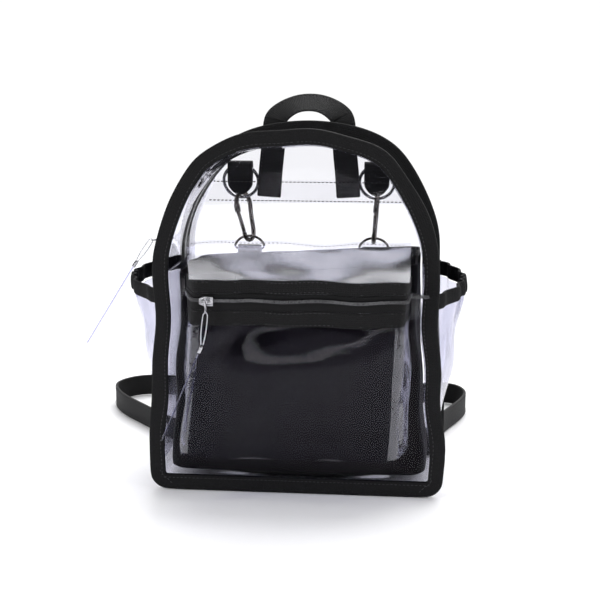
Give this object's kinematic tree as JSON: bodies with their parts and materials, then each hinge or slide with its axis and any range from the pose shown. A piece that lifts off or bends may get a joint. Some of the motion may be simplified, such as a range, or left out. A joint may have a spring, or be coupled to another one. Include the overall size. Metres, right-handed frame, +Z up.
{
  "type": "clear backpack",
  "caption": "Small clear backpack with black bound seams, an arched zip, a box pocket, gathered side pockets, an inner pouch, a handle and clip-on shoulder straps.",
  "frame": {"origin": "on the floor under the middle of the bag, in the plane on which the sagging bottom and the bound seams rest", "axes": "+X to the viewer's right, +Y from the pocket side towards the wearer, +Z up"},
  "size_m": [0.3417, 0.3367, 0.3073],
  "materials": {
    "clear_pvc": "clear flexible film, glossy",
    "seam_tape": "black woven tape, matte",
    "zip_tape": "black knitted tape with a nylon coil",
    "webbing": "black flat webbing, stitched along its edges",
    "bright_metal": "polished",
    "dark_metal": "dark plated, polished",
    "clear_cord": "milky clear cord",
    "pull_strip": "clear flexible film with a faint cool tint",
    "pouch_fabric": "black smooth lining cloth"
  },
  "bodies": {
    "bag": {"front_panel": "clear_pvc", "back_panel": "clear_pvc", "gusset_front_strip": "clear_pvc", "gusset_back_strip": "clear_pvc", "lower_gusset": "clear_pvc", "back_patch": "clear_pvc", "side_pocket_left": "clear_pvc", "side_pocket_right": "clear_pvc", "pocket_top": "clear_pvc", "pocket_face": "clear_pvc", "pocket_side_left": "clear_pvc", "pocket_side_right": "clear_pvc", "pocket_foot": "clear_pvc", "front_binding": "seam_tape", "back_binding": "seam_tape", "side_pocket_hem_left": "seam_tape", "side_pocket_hem_right": "seam_tape", "pocket_band_upper": "seam_tape", "pocket_band_lower": "seam_tape", "zipper_tape_front": "zip_tape", "zipper_tape_back": "zip_tape", "zipper_coil": "zip_tape", "pocket_tape_upper": "zip_tape", "pocket_tape_lower": "zip_tape", "pocket_coil": "zip_tape", "handle": "webbing", "ring_tab_left": "webbing", "ring_tab_right": "webbing", "strap_left": "webbing", "strap_right": "webbing", "pocket_slider": "bright_metal", "pocket_pull_link": "bright_metal", "pocket_pull_ferrule": "bright_metal", "main_slider": "bright_metal", "main_pull_link": "bright_metal", "main_pull_ferrule": "bright_metal", "ring_left": "bright_metal", "ring_right": "bright_metal", "hook_body_left": "dark_metal", "hook_body_right": "dark_metal", "base_ring_left": "dark_metal", "base_ring_right": "dark_metal", "pocket_pull_cord": "clear_cord", "main_pull_cord": "clear_cord", "pocket_pull_tag": "pull_strip", "main_pull_tag": "pull_strip", "inner_pouch": "pouch_fabric"},
    "gate_left": {"hook_gate_left": "dark_metal"},
    "gate_right": {"hook_gate_right": "dark_metal"}
  },
  "joints": [
    {"name": "gate_left_swing", "type": "hinge", "parent": "bag", "child": "gate_left", "pos_m": [-0.06122, 0.05895, 0.21011], "axis": [0.8325, -0.5299, 0.1618], "range_deg": [0, 18]},
    {"name": "gate_right_swing", "type": "hinge", "parent": "bag", "child": "gate_right", "pos_m": [0.05588, 0.05766, 0.21083], "axis": [0.9976, 0, -0.0698], "range_deg": [0, 18]}
  ]
}
